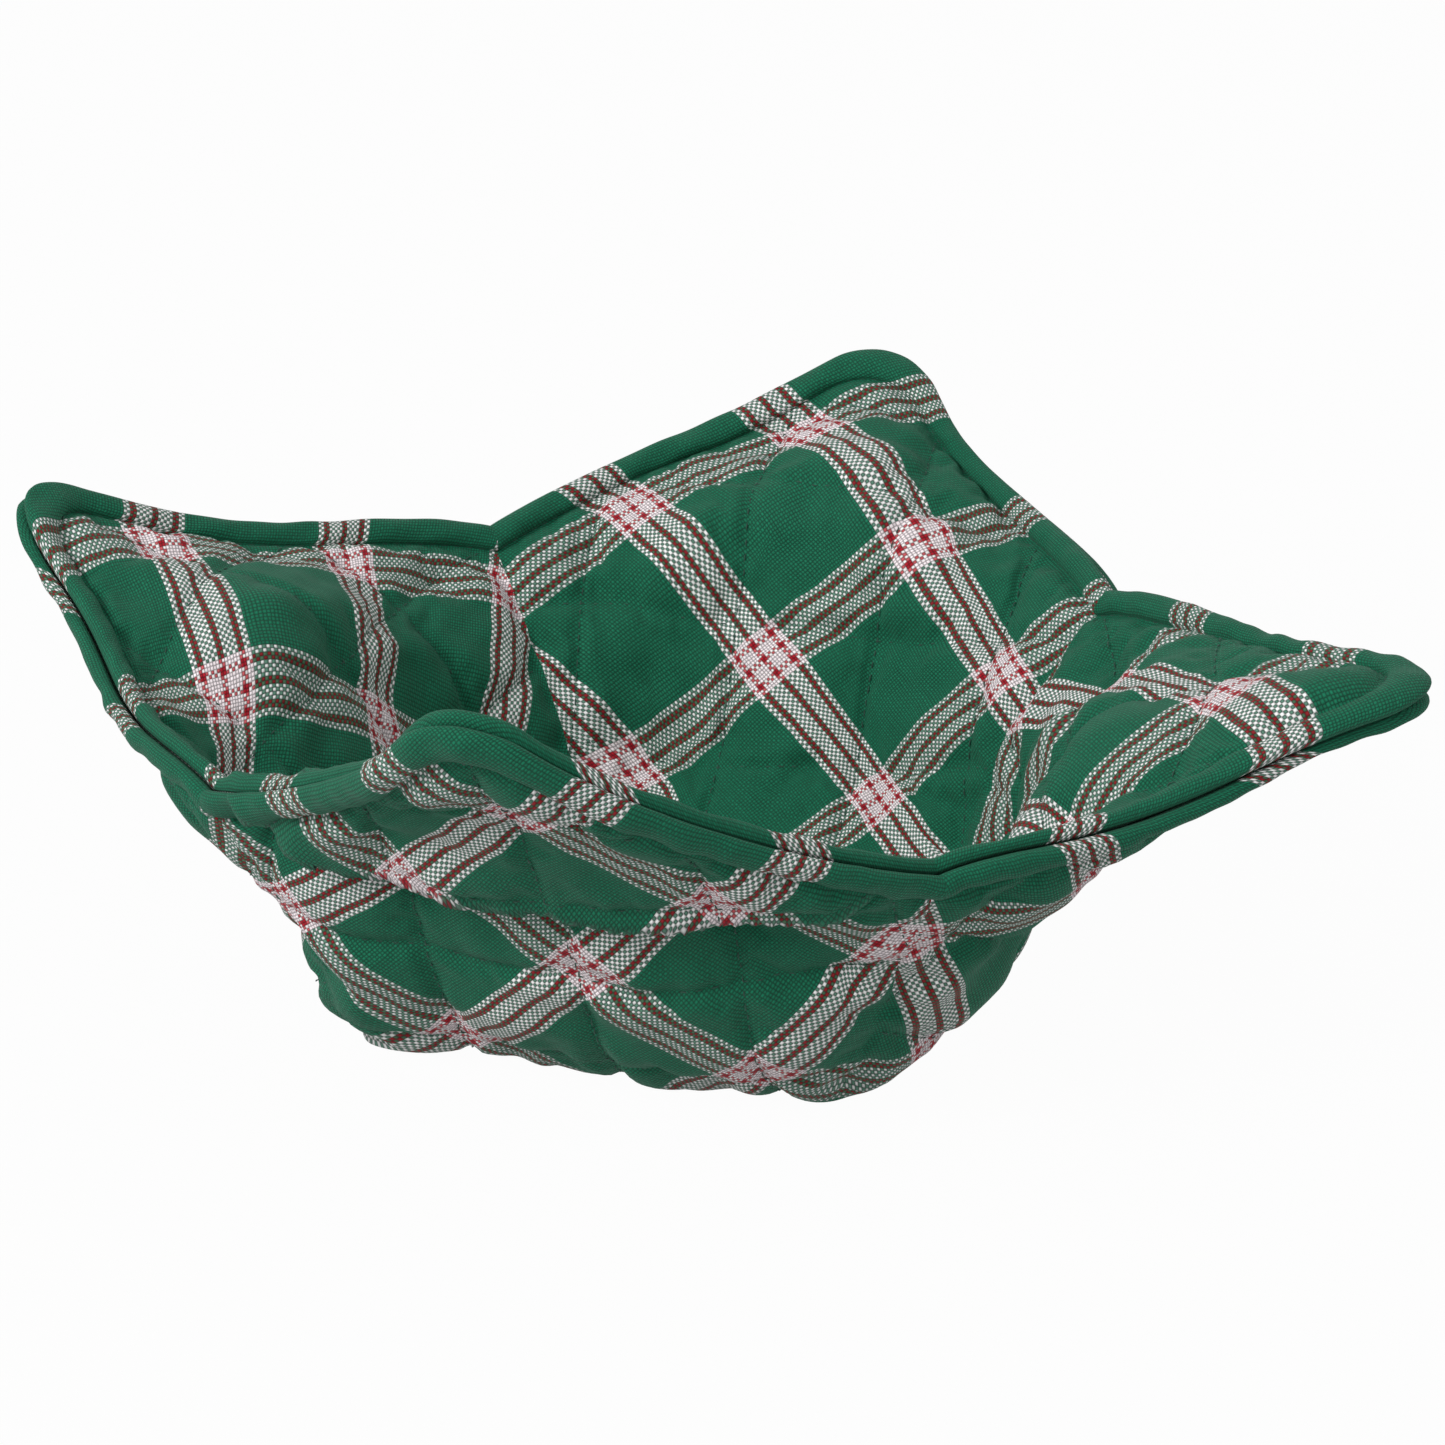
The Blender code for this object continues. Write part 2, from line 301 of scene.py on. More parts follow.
def flat_points(side, turn, out, along):
    """Flat places of cloth beside a side's dart, in the panel's own square."""
    opening = dart_half_width(out)
    ring_share = (along - opening) / np.maximum(out - opening, 1e-9)
    _, _, _, shift, taken_up = DARTS[SIDES[side][0]]
    beside = 1 - smooth_step(ring_share / TAKEN_UP_FADE)
    lateral = turn * (along + taken_up * opening / DART_HALF_WIDTH * beside) + shift * (1 - ring_share)
    angle = -side * pi / 2
    x = lateral * cos(angle) - out * sin(angle)
    y = lateral * sin(angle) + out * cos(angle)
    return np.stack([x, y], -1), np.clip(ring_share, 0.0, 1.0)


def ring_lines():
    """For each ring: its reach on the flat cut, as the rings' own measure, on the form and
    past the rim, and its height over the middle of the wall."""
    inner = np.linspace(0.0, HALF - BORDER_WIDTH, INNER_CELLS + 1)
    angle = np.linspace(ROLL_START, ROLL_END, BORDER_CELLS + 1)[1:]
    out = ROLL_LONG * np.cos(angle) - ROLL_BACK
    high = ROLL_RISE + ROLL_HIGH * np.sin(angle)
    travel = np.cumsum(np.hypot(np.diff(out, prepend=-BORDER_WIDTH), np.diff(high, prepend=GROOVE)))
    flat = np.concatenate([inner, inner[-1] + travel])
    even = np.concatenate([inner, inner[-1] + travel * BORDER_WIDTH / travel[-1]])
    place = np.concatenate([inner, HALF + np.minimum(out, 0.0)])
    past = np.concatenate([inner * 0, np.maximum(out, 0.0)])
    return flat, even, place, past, np.concatenate([inner * 0, high])


def side_of(i, j):
    """Side and sideways index of grid places, from their whole-number or half indices."""
    side = np.select([(j >= np.abs(i)), (i >= np.abs(j)), (-j >= np.abs(i))], [0, 1, 2], 3)
    return side, np.choose(side, [i, -j, -i, j])


def waves(flat, seed, lengths):
    """A sum of waves of chosen lengths that run in all directions over the flat cut."""
    draw = np.random.default_rng(seed)
    total = np.zeros(flat.shape[:-1])
    for _ in range(WAVE_COUNT):
        angle, phase = draw.uniform(0, pi), draw.uniform(0, 2 * pi)
        length = draw.uniform(*lengths)
        along = flat[..., 0] * cos(angle) + flat[..., 1] * sin(angle)
        total += np.sin(2 * pi * along / length + phase)
    return total / sqrt(WAVE_COUNT / 2)


def nudged(points):
    """The form pulled off by the places where the soft cloth hangs its own way."""
    moved = points.copy()
    for middle, size, way in NUDGES:
        far = np.linalg.norm(points - np.array(middle) + MIDDLE_OF_CLOTH, axis=-1, keepdims=True)
        moved = moved + np.exp(-((far / size) ** 2)) * np.array(way)
    return moved


class Cloth:
    """The middle of the wall as a panel lies on it, on a square grid whose rings follow the rim."""

    def __init__(self, panel):
        self.panel = panel
        flat_lines, even, place, past, height = ring_lines()
        index = np.arange(-CELLS, CELLS + 1)
        i, j = np.meshgrid(index, index, indexing="ij")
        ring, across = np.maximum(abs(i), abs(j)), np.minimum(abs(i), abs(j))
        self.ring = ring
        self.reach = even[ring]
        self.height = height[ring]
        self.share = even[across] / np.maximum(self.reach, 1e-9)
        self.side, self.lateral = side_of(i, j)
        self.flat = {sign: self.laid(flat_lines[ring], sign)[1] for sign in (1, -1)}
        level, _ = self.laid(self.reach, 1)
        nearer, _ = self.laid(np.maximum(self.reach - OUTWARD_STEP, 0.0), 1)
        _, along = rounded_ring(self.reach, self.share)
        beside = along - dart_half_width(self.reach)
        self.beside_dart = np.where(self.reach > HALF - DART_DEPTH, beside, HALF)
        outward = level - nearer
        outward /= np.maximum(np.linalg.norm(outward, axis=-1, keepdims=True), 1e-9)
        bent = self.fold(grid_normals(level), outward)
        placed = self.laid(place[ring], 1)[0] + past[ring][..., None] * outward + bent
        self.points = nudged(placed)
        straight = np.interp(ring, (INNER_CELLS, CELLS), place[[INNER_CELLS, -1]])
        seam = np.where(ring > INNER_CELLS, straight, place[ring])
        self.back = nudged(self.laid(seam, 1)[0] + bent)
        self.normals = grid_normals(nudged(level + bent))

    def laid(self, reach, sign):
        """Standing and flat places of the grid when its rings have those reaches."""
        out, along = rounded_ring(reach, self.share)
        points, flat = np.zeros(reach.shape + (3,)), np.zeros(reach.shape + (2,))
        turn = np.where(self.lateral == 0, sign, np.sign(self.lateral))
        for number in range(4):
            for way in (1, -1):
                here = (self.side == number) & (turn == way)
                flat[here], ring_share = flat_points(number, way, out[here], along[here])
                points[here] = standing_points(number, way, out[here], ring_share)
        return points, flat

    def fold(self, normals, outward):
        """How the wall's slow waves and the fold under the front flap move the cloth."""
        flat, edge = self.flat[1], HALF - self.reach
        free = smooth_step(edge / WAVE_OFF_RIM) * smooth_step(self.beside_dart / WAVE_OFF_DART)
        free = free * smooth_step((self.reach - FLAP_BASE) / WAVE_OFF_BASE)
        wavy = WAVE_HEIGHT * waves(flat, WAVE_SEED, WAVE_LENGTHS) * free
        away = flat + HALF
        angle = np.arctan2(away[..., 1], away[..., 0])
        past = np.hypot(away[..., 0], away[..., 1])
        past = past - FOLD_ACROSS - FOLD_WIDENING * (angle - FOLD_NEAREST) ** 2
        strength = smooth_step(angle / FOLD_START_FADE)
        strength *= smooth_step((FOLD_END - angle) / FOLD_END_FADE)
        strength *= smooth_step(edge / FOLD_OFF_RIM) * smooth_step(self.beside_dart / FOLD_OFF_DART)
        sunk = FOLD_IN * np.exp(-np.abs(past) / FOLD_IN_FADE)
        drawn = FOLD_DRAWN * np.exp(-((past / FOLD_DRAWN_WIDTH) ** 2))
        if self.panel == "inner":
            inwards = wavy + (drawn + sunk * smooth_step(1 + past / FOLD_RAMP)) * strength
            return normals * inwards[..., None]
        below = smooth_step(past / FOLD_SHARP / 2 + 0.5)
        proud = FOLD_OUT * np.exp(-np.abs(past) / FOLD_OUT_FADE) * (1 - below)
        lap = FOLD_LAP * np.exp(-((past / FOLD_LAP_FADE) ** 2)) * (1 - below)
        inwards = wavy + (drawn + sunk * below - proud) * strength
        return normals * inwards[..., None] - outward * (lap * strength)[..., None]


def grid_normals(points):
    """Unit normals of a grid of points, towards the inside of the bowl."""
    normals = np.cross(np.gradient(points, axis=0), np.gradient(points, axis=1))
    return normals / np.linalg.norm(normals, axis=-1, keepdims=True)


def seam_distance(flat, phase):
    """How far flat places lie from the two sets of quilting lines."""
    across = (flat[..., 0] - flat[..., 1]) / sqrt(2) + phase[0]
    down = (flat[..., 0] + flat[..., 1]) / sqrt(2) + phase[1]
    half = QUILT_PITCH / 2
    return [np.abs((value + half) % QUILT_PITCH - half) for value in (across, down)]


def loft_of(cloth, panel):
    """Height of the face cloth over the middle of the wall, and how firmly it is held."""
    edge = HALF - cloth.reach
    near, far = seam_distance(cloth.flat[1], QUILT_PHASE[panel])
    seed = WRINKLE_SEED[panel]
    puff = np.abs(np.sin(pi * near / QUILT_PITCH) * np.sin(pi * far / QUILT_PITCH)) ** PUFF_FULLNESS
    puff *= smooth_step((edge - BORDER_WIDTH) / BORDER_WIDTH)
    puff *= smooth_step(cloth.beside_dart / SEAM_DITCH)
    padded = STITCHED[panel] + (LOFT[panel] - STITCHED[panel]) * puff
    padded += WRINKLE_HEIGHT * waves(cloth.flat[1], seed, WRINKLE_LENGTHS)
    leave_groove = smooth_step((edge - BORDER_WIDTH) / GROOVE_BANK)
    padded = GROOVE + (padded - GROOVE) * leave_groove
    pucker = 1 + ROLL_PUCKER * waves(cloth.flat[1], seed + 1, ROLL_PUCKER_LENGTHS)
    loft = np.where(cloth.ring > INNER_CELLS, cloth.height * pucker, padded)
    hold = 1 - smooth_step((np.minimum(near, far) - PINNED) / PINNED_FADE)
    hold = np.maximum(hold, 1 - smooth_step((cloth.beside_dart - DART_PINNED) / DART_PINNED_FADE))
    hold = np.maximum(hold, edge < BORDER_WIDTH + RIM_PINNED)
    return loft, hold


# Cloth simulation of the puffs between the stitch lines, and how far it may move them
SIM_SCALE = 20.0
SIM_FRAMES = 18
SIM_SETTINGS = {
    "quality": 6,
    "mass": 0.3,
    "air_damping": 2.0,
    "tension_stiffness": 15.0,
    "compression_stiffness": 15.0,
    "shear_stiffness": 5.0,
    "bending_stiffness": 0.6,
    "pin_stiffness": 1.0,
    "shrink_min": -0.035,
    "use_pressure": True,
    "uniform_pressure_force": 3.0,
}
LEAST_PIN = 0.01
MOST_RISE = 0.0009
MOST_DIP = 0.0009


def quads_of(size):
    """Corner indices of the quads of a square grid with that many points on a side."""
    number = np.arange(size * size).reshape(size, size)
    corners = number[:-1, :-1], number[1:, :-1], number[1:, 1:], number[:-1, 1:]
    return np.stack(corners, -1).reshape(-1, 4)


def new_mesh(name, points, faces):
    mesh = bpy.data.meshes.new(name)
    corners = [tuple(point) for point in points.reshape(-1, 3)]
    mesh.from_pydata(corners, [], [list(face) for face in faces])
    return mesh


def add_object(name, data):
    thing = bpy.data.objects.new(name, data)
    bpy.context.scene.collection.objects.link(thing)
    return thing


def simulated(points, hold, inwards):
    """Blender's cloth, blown up a little between its pinned stitch lines: the moved points."""
    size = points.shape[0]
    faces = quads_of(size)
    mesh = new_mesh("cloth_test", points * SIM_SCALE, faces[:, ::inwards])
    cloth = add_object("cloth_test", mesh)
    pins = cloth.vertex_groups.new(name="stitched")
    for index, value in enumerate(hold.reshape(-1)):
        if value > LEAST_PIN:
            pins.add([index], float(value), "REPLACE")
    modifier = cloth.modifiers.new("cloth", "CLOTH")
    settings = modifier.settings
    for key, value in SIM_SETTINGS.items():
        setattr(settings, key, value)
    settings.vertex_group_mass = pins.name
    settings.effector_weights.gravity = 0.0
    modifier.collision_settings.use_collision = False
    modifier.point_cache.frame_start = 1
    modifier.point_cache.frame_end = SIM_FRAMES
    for number in range(1, SIM_FRAMES + 1):
        bpy.context.scene.frame_set(number)
    evaluated = cloth.evaluated_get(bpy.context.evaluated_depsgraph_get())
    moved = np.empty(size * size * 3)
    evaluated.data.vertices.foreach_get("co", moved)
    bpy.data.objects.remove(cloth)
    bpy.data.meshes.remove(mesh)
    bpy.context.scene.frame_set(1)
    return moved.reshape(points.shape) / SIM_SCALE


def finer(values):
    """A grid of values at twice the fineness, through four-point curves."""
    for axis in (0, 1):
        values = np.moveaxis(values, axis, 0)
        padded = np.concatenate([2 * values[:1] - values[1:2], values, 2 * values[-1:] - values[-2:-1]])
        between = (9 * (padded[1:-2] + padded[2:-1]) - padded[:-3] - padded[3:]) / 16
        result = np.empty((2 * len(values) - 1,) + values.shape[1:])
        result[::2], result[1::2] = values, between
        values = np.moveaxis(result, 0, axis)
    return values


def face_points(cloth, panel):
    """Places of a panel's visible cloth, puffed between its stitches."""
    loft, hold = loft_of(cloth, panel)
    sign = INWARDS[panel]
    normals = cloth.normals * sign
    points = cloth.points + normals * (PANEL_GAP / 2 + loft[..., None])
    step = slice(None, None, SIM_STRIDE)
    start, pinned, out = points[step, step], hold[step, step], normals[step, step]
    moved = simulated(start, pinned, sign) - start
    rise = (moved * out).sum(-1, keepdims=True)
    moved += out * (np.clip(rise, -MOST_DIP, MOST_RISE) - rise)
    points = points + finer(moved)
    points = points + MIDDLE_OF_CLOTH
    points[..., 2] = np.maximum(points[..., 2], 0.0)
    return points


def sides_of(grid):
    """The values along a grid's four sides, in turn round it."""
    return grid[:, 0], grid[-1, :], grid[::-1, -1], grid[0, ::-1]


def panel_piece(cloth, panel, material):
    """One quilted panel as a closed shell: its face, a coarser back, and the seam at the rim."""
    name = panel + "_quilted_cloth"
    face = face_points(cloth, panel)
    size = face.shape[0]
    sign = INWARDS[panel]
    back = (cloth.back + cloth.normals * sign * PANEL_GAP / 2)[::BACK_STRIDE, ::BACK_STRIDE]
    back = back + MIDDLE_OF_CLOTH
    back_size = back.shape[0]
    face_number = np.arange(size * size).reshape(size, size)
    back_number = size * size + np.arange(back_size * back_size).reshape(back_size, back_size)
    quads = quads_of(size)
    back_quads = size * size + quads_of(back_size)[:, ::-1]
    faces = [list(quad) for quad in quads] + [list(quad) for quad in back_quads]
    for fine, coarse in zip(sides_of(face_number), sides_of(back_number)):
        for step in range(back_size - 1):
            strip = list(fine[step * BACK_STRIDE:(step + 1) * BACK_STRIDE + 1])
            faces.append([coarse[step], coarse[step + 1]] + strip[::-1])
    faces = [face_corners[::sign] for face_corners in faces]
    mesh = new_mesh(name, np.concatenate([face.reshape(-1, 3), back.reshape(-1, 3)]), faces)
    add_cloth_map(mesh, cloth, sign)
    mesh.materials.append(material)
    mesh.shade_smooth()
    return add_object(name, mesh), face


def flat_corners(cloth):
    """Flat places of every quad's corners, where the cloth is parted at the darts."""
    size = cloth.reach.shape[0]
    middle = np.arange(size - 1) - CELLS + 0.5
    i, j = np.meshgrid(middle, middle, indexing="ij")
    _, lateral = side_of(i, j)
    quads = quads_of(size)
    left, right = (cloth.flat[way].reshape(-1, 2)[quads] for way in (-1, 1))
    return np.where((lateral < 0).reshape(-1, 1, 1), left, right)


def add_cloth_map(mesh, cloth, inwards):
    """The map of the flat cut, in metres along both stripes; the hidden back is plain green."""
    corners = flat_corners(cloth)[:, ::inwards]
    corners = np.stack([corners[..., 0] + HALF, HALF - corners[..., 1]], -1).reshape(-1, 2)
    uv = np.empty((len(mesh.loops), 2))
    uv[:len(corners)] = corners
    uv[len(corners):] = PLAIN_PLACE
    layer = mesh.uv_layers.new(name="cloth")
    layer.uv.foreach_set("vector", uv.astype(np.float32).ravel())


class Nodes:
    """Short calls for building the node tree of a material or a world."""

    def __init__(self, owner, shader="Principled BSDF"):
        self.owner = owner
        owner.use_nodes = True
        self.tree = owner.node_tree
        self.shader = self.tree.nodes[shader]

    def add(self, kind, **values):
        node = self.tree.nodes.new(kind)
        for key, value in values.items():
            setattr(node, key, value)
        return node

    def put(self, socket, value):
        if isinstance(value, bpy.types.NodeSocket):
            self.tree.links.new(value, socket)
        else:
            socket.default_value = value

    def math(self, operation, *values):
        node = self.add("ShaderNodeMath", operation=operation)
        for socket, value in zip(node.inputs, values):
            self.put(socket, value)
        return node.outputs[0]

    def mix(self, factor, first, second, blend="MIX"):
        node = self.add("ShaderNodeMix", data_type="RGBA", blend_type=blend)
        sockets = node.inputs[0], node.inputs[6], node.inputs[7]
        for socket, value in zip(sockets, (factor, first, second)):
            self.put(socket, value)
        return node.outputs[2]

    def vector(self, x, y, z=0.0):
        node = self.add("ShaderNodeCombineXYZ")
        for socket, value in zip(node.inputs, (x, y, z)):
            self.put(socket, value)
        return node.outputs[0]

    def noise(self, vector, scale, detail=2.0, roughness=0.5):
        node = self.add("ShaderNodeTexNoise")
        self.put(node.inputs["Vector"], vector)
        self.put(node.inputs["Scale"], scale)
        self.put(node.inputs["Detail"], detail)
        self.put(node.inputs["Roughness"], roughness)
        return node.outputs["Fac"]

    def surface(self, values, strength, distance, height):
        """The shader's plain values, and the bumps on it."""
        for key, value in values.items():
            self.put(self.shader.inputs[key], value)
        bump = self.add("ShaderNodeBump")
        for key, value in (("Strength", strength), ("Distance", distance), ("Height", height)):
            self.put(bump.inputs[key], value)
        self.put(self.shader.inputs["Normal"], bump.outputs[0])

    def stripes(self, yarn, repeat, stops):
        """Colour of the yarn of that number: stops are (distance from a stripe's middle, colour)."""
        half = repeat / 2
        wrapped = self.math("FLOORED_MODULO", self.math("ADD", yarn, 0.5 + half), float(repeat))
        distance = self.math("ABSOLUTE", self.math("SUBTRACT", wrapped, half))
        ramp = self.add("ShaderNodeValToRGB")
        ramp.color_ramp.interpolation = "CONSTANT"
        for number, (place, colour) in enumerate(stops):
            if number < 2:
                element = ramp.color_ramp.elements[number]
                element.position = place / half
            else:
                element = ramp.color_ramp.elements.new(place / half)
            element.color = colour
        self.put(ramp.inputs[0], self.math("DIVIDE", distance, half))
        return ramp.outputs[0]


# The bands' yarns from the middle outwards, and how evenly they run
WARP_BAND = ((0, RED), (1, WHITE), (6, RED), (8, WHITE), (10, GREEN))
WEFT_BAND = ((0, RED), (1, WHITE), (5, RED), (7, WHITE), (9, GREEN))
YARN_WOBBLE, YARN_DRIFT = 0.5, 1.0
WOBBLE_SCALE, DRIFT_SCALE = 120.0, 35.0

# How far the warp covers the weft, how much of the hidden yarn shows, how the yarns' slubs vary
# their tone, and the painted shade that darkens the ditches between the yarns by their height
WARP_COVER = 0.10
SHOW_THROUGH = 0.10
RED_DEEPENING = 1.2
SLUB_SCALE, SLUB_STRETCH = 1.3, 0.06
SLUB_CONTRAST, SLUB_SHADE = 1.0, 0.5
PAINTED_SHADE_RANGE, PAINTED_SHADE_IN_DITCH = 1.15, 0.12
FUZZ_SCALE, FUZZ_HEIGHT = 2.5, 0.35

COTTON = {"Roughness": 0.75, "Specular IOR Level": 0.22, "Sheen Weight": 0.04, "Sheen Roughness": 0.5}
COTTON_BUMP, COTTON_BUMP_HEIGHT = 0.8, 0.00018
THREAD_SURFACE = {"Roughness": 0.7, "Sheen Weight": 0.1}
THREAD_BUMP, THREAD_BUMP_HEIGHT = 1.0, 0.0001
TWIST_SCALE = 4000.0
TWIST_LIGHTENING = 1.6


def plaid_cotton(name, weft_phase):
    """Plain-weave cotton with its plaid drawn yarn by yarn from the flat map."""
    n = Nodes(bpy.data.materials.new(name))
    uv = n.add("ShaderNodeUVMap", uv_map="cloth").outputs[0]
    split = n.add("ShaderNodeSeparateXYZ")
    n.put(split.inputs[0], uv)
    wobble = n.noise(uv, WOBBLE_SCALE, 2.0)
    drift = n.noise(uv, DRIFT_SCALE, 1.0)
    bend = n.math("ADD", n.math("MULTIPLY", n.math("SUBTRACT", wobble, 0.5), YARN_WOBBLE),
                  n.math("MULTIPLY", n.math("SUBTRACT", drift, 0.5), YARN_DRIFT))
    x = n.math("MULTIPLY_ADD", split.outputs[0], WARP_YARNS / WARP_REPEAT, -WARP_PHASE * WARP_YARNS)
    y = n.math("MULTIPLY_ADD", split.outputs[1], WEFT_YARNS / WEFT_REPEAT, -weft_phase * WEFT_YARNS)
    x, y = n.math("ADD", x, bend), n.math("SUBTRACT", y, bend)
    warp = n.stripes(n.math("FLOOR", x), WARP_YARNS, WARP_BAND)
    weft = n.stripes(n.math("FLOOR", y), WEFT_YARNS, WEFT_BAND)
    over_warp, over_weft = (n.math("SINE", n.math("MULTIPLY", place, pi)) for place in (x, y))
    raised = n.math("ADD", n.math("MULTIPLY", over_warp, over_weft), WARP_COVER)
    warp_shows = n.math("GREATER_THAN", raised, 0.0)
    height = n.math("POWER", n.math("ABSOLUTE", raised), 0.5)
    shown, hidden = n.mix(warp_shows, weft, warp), n.mix(warp_shows, warp, weft)
    own, other = n.add("ShaderNodeSeparateColor"), n.add("ShaderNodeSeparateColor")
    n.put(own.inputs[0], shown)
    n.put(other.inputs[0], hidden)
    redness = n.math("MAXIMUM", n.math("SUBTRACT", own.outputs[0], own.outputs[1]), 0.0)
    dullness = n.math("SUBTRACT", 1.0, n.math("MAXIMUM", other.outputs[0], other.outputs[1]))
    deepen = n.math("MULTIPLY", n.math("MULTIPLY", redness, dullness), RED_DEEPENING)
    colour = n.mix(SHOW_THROUGH, shown, hidden)
    crossing = n.math("MULTIPLY", own.outputs[1], other.outputs[1])
    colour = n.mix(crossing, colour, n.mix(1.0, colour, PINK_CAST, "MULTIPLY"))
    slub = n.mix(warp_shows, n.noise(n.vector(n.math("MULTIPLY", x, SLUB_STRETCH), y), SLUB_SCALE),
                 n.noise(n.vector(x, n.math("MULTIPLY", y, SLUB_STRETCH)), SLUB_SCALE))
    tone_and_painted_shade = n.math("MULTIPLY_ADD", slub, SLUB_CONTRAST, SLUB_SHADE)
    # Painted shade: the colour is darkened where the yarns dip into the ditches between them
    tone_and_painted_shade = n.math("MULTIPLY", tone_and_painted_shade, n.math("MULTIPLY_ADD", height, PAINTED_SHADE_RANGE, PAINTED_SHADE_IN_DITCH))
    tone_and_painted_shade = n.math("MULTIPLY", tone_and_painted_shade, n.math("SUBTRACT", 1.0, deepen))
    n.put(n.shader.inputs["Base Color"], n.mix(1.0, colour, n.vector(tone_and_painted_shade, tone_and_painted_shade, tone_and_painted_shade), "MULTIPLY"))
    fuzz = n.noise(n.vector(x, y), FUZZ_SCALE, 3.0)
    bumps = n.math("MULTIPLY_ADD", fuzz, FUZZ_HEIGHT, height)
    n.surface(COTTON, COTTON_BUMP, COTTON_BUMP_HEIGHT, bumps)
    return n.owner


def thread_material(name, colour):
    """Twisted sewing thread."""
    n = Nodes(bpy.data.materials.new(name))
    place = n.add("ShaderNodeTexCoord").outputs["Object"]
    twist = n.noise(place, TWIST_SCALE, 2.0)
    lighter = tuple(TWIST_LIGHTENING * value for value in colour[:3]) + (1.0,)
    n.put(n.shader.inputs["Base Color"], n.mix(twist, colour, lighter))
    n.surface(THREAD_SURFACE, THREAD_BUMP, THREAD_BUMP_HEIGHT, twist)
    return n.owner


# Camera: read from the photo's plaid, looking at the bowl from the front and the right
CAMERA_TARGET = Vector((0.0052, -0.0072, 0.0539))
CAMERA_DISTANCE = 0.8297
CAMERA_AZIMUTH = radians(18.1)
CAMERA_ELEVATION = radians(23.4)
CAMERA_LENS = 110.1
SENSOR = 36.0


def add_camera():
    forward = Vector((-sin(CAMERA_AZIMUTH) * cos(CAMERA_ELEVATION),
                      cos(CAMERA_AZIMUTH) * cos(CAMERA_ELEVATION), -sin(CAMERA_ELEVATION)))
    data = bpy.data.cameras.new("camera")
    data.lens = CAMERA_LENS
    data.sensor_width = SENSOR
    data.clip_start = 0.01
    camera = add_object("camera", data)
    camera.location = CAMERA_TARGET - forward * CAMERA_DISTANCE
    camera.rotation_euler = forward.to_track_quat("-Z", "Y").to_euler()
    bpy.context.scene.camera = camera


# Lamps: place, size and power of each, aimed at the bowl
LAMPS = {
    "key": ((-0.85, -1.3, 1.2), 0.7, 23.0),
    "fill": ((1.2, -1.2, 0.9), 1.2, 3.0),
}
WORLD_LIGHT = 0.48
FLOOR_SIZE = 3.0
FLOOR_GREY = 0.5
FLOOR_WHITENING = 0.97


def add_lamp(name, place, size, power):
    data = bpy.data.lights.new(name, "AREA")
    data.shape = "SQUARE"
    data.size = size
    data.energy = power
    lamp = add_object(name, data)
    lamp.location = place
    lamp.rotation_euler = (CAMERA_TARGET - Vector(place)).to_track_quat("-Z", "Y").to_euler()


def white_to_the_camera(n, value):
    """That value where a ray from the camera, a reflection or glass meets it, and 0 elsewhere."""
    path = n.add("ShaderNodeLightPath")
    seen = n.math("MAXIMUM", path.outputs["Is Camera Ray"], path.outputs["Is Glossy Ray"])
    seen = n.math("MAXIMUM", seen, path.outputs["Is Transmission Ray"])
    return n.math("MULTIPLY", seen, value)


def add_floor():
    corners = np.array([(-1, -1, 0), (1, -1, 0), (1, 1, 0), (-1, 1, 0)]) * FLOOR_SIZE
    mesh = new_mesh("floor", corners, [(0, 1, 2, 3)])
    n = Nodes(bpy.data.materials.new("pale_floor"))
    n.put(n.shader.inputs["Base Color"], (FLOOR_GREY, FLOOR_GREY, FLOOR_GREY, 1.0))
    n.put(n.shader.inputs["Roughness"], 1.0)
    n.put(n.shader.inputs["Specular IOR Level"], 0.0)
    glow = n.add("ShaderNodeEmission")
    n.put(glow.inputs["Strength"], 1.0)
    blend = n.add("ShaderNodeMixShader")
    n.put(blend.inputs[0], white_to_the_camera(n, FLOOR_WHITENING))
    n.put(blend.inputs[1], n.shader.outputs[0])
    n.put(blend.inputs[2], glow.outputs[0])
    n.put(n.tree.nodes["Material Output"].inputs[0], blend.outputs[0])
    mesh.materials.append(n.owner)
    floor = add_object("floor", mesh)


def add_world():
    n = Nodes(bpy.data.worlds.new("white_studio"), "Background")
    strength = n.math("ADD", white_to_the_camera(n, 1.0 - WORLD_LIGHT), WORLD_LIGHT)
    n.put(n.shader.inputs["Color"], (1.0, 1.0, 1.0, 1.0))
    n.put(n.shader.inputs["Strength"], strength)
    bpy.context.scene.world = n.owner


# Stitches: length of one, space between two, and thickness of the thread
STITCH = 0.0021
STITCH_SPACE = 0.0027
THREAD = 0.00022
STITCH_RINGS = 5
STITCH_SIDES = 5
STITCH_TAPER = 0.75
STITCH_CROWN, STITCH_DIVE = 0.5, 1.6
QUILT_STITCH = 0.0018
QUILT_SPACE = 0.0027
QUILT_THREAD = 0.00015


